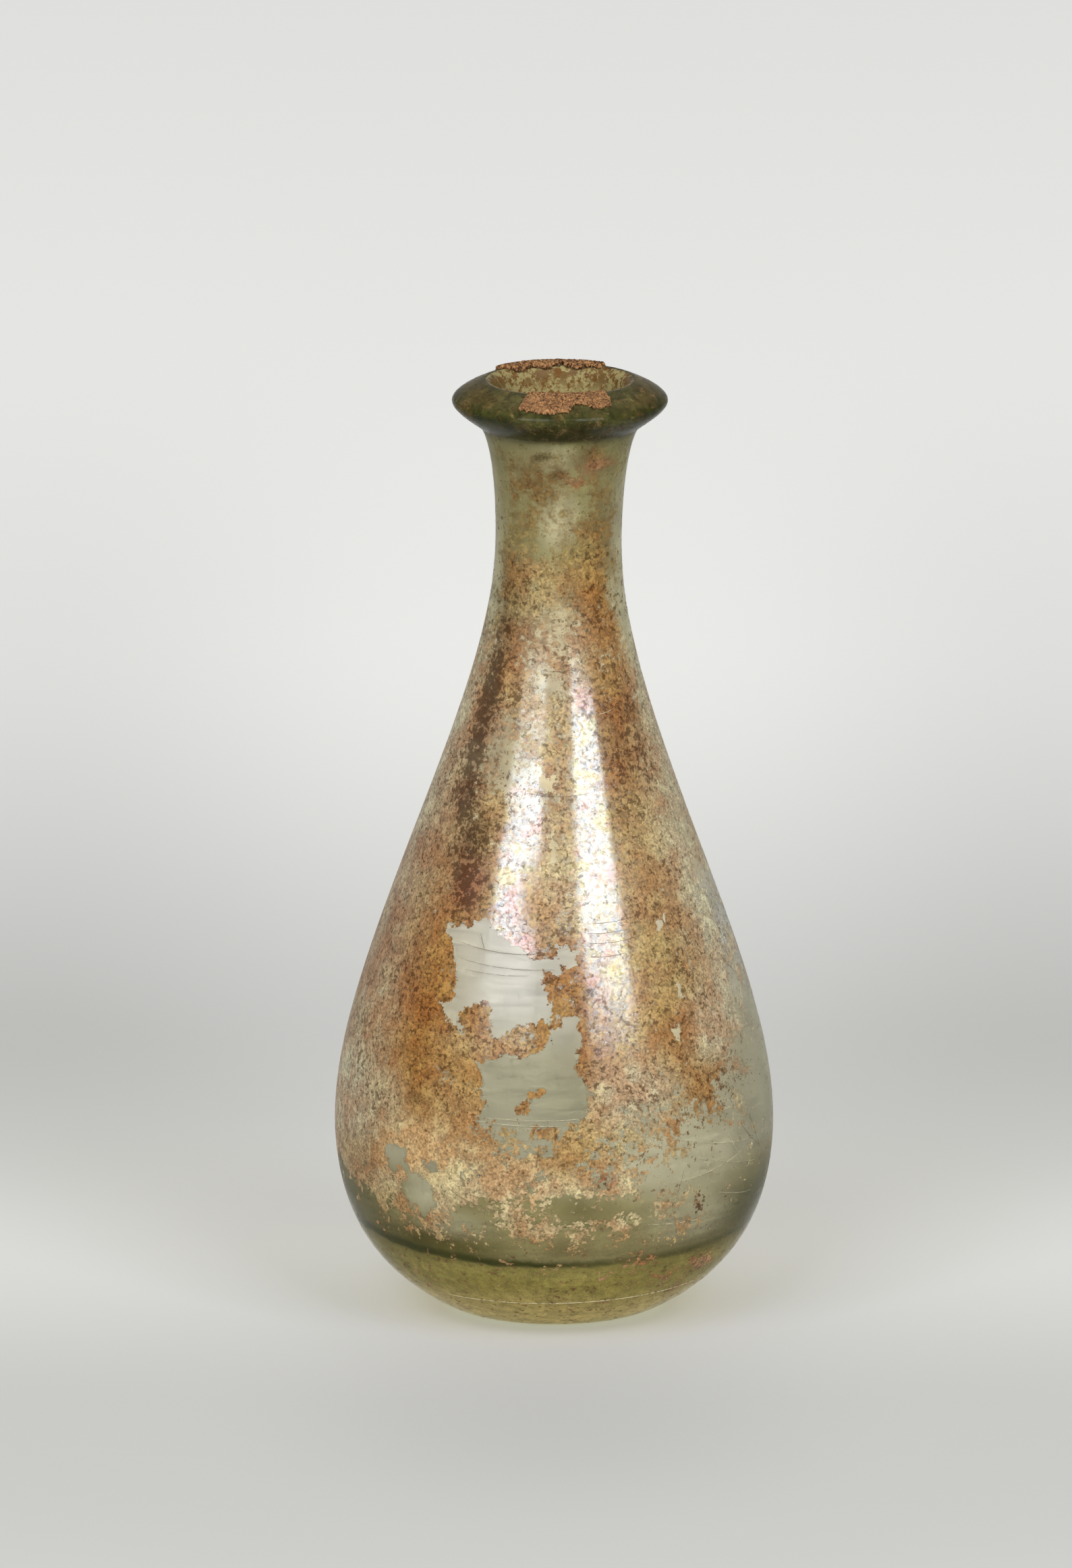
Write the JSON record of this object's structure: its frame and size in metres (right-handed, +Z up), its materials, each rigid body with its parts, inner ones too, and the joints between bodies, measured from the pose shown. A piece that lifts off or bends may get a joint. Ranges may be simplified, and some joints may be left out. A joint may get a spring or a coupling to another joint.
{
  "type": "narrow-necked glass vase",
  "caption": "Free-blown pear-shaped glass vase with a slender neck, a folded sloping lip and a thick base, hollow and open at the mouth.",
  "frame": {"origin": "on the ground, under the middle of the base", "axes": "+Z up along the vessel's axis; the neck leans 0.9 mm towards +X; -Y faces the viewer"},
  "size_m": [0.0696, 0.0696, 0.15],
  "materials": {
    "weathered_glass": "pale green blown glass under a flaking brown, iridescent weathering film"
  },
  "bodies": {
    "root": {"bottle": "weathered_glass"}
  },
  "joints": []
}
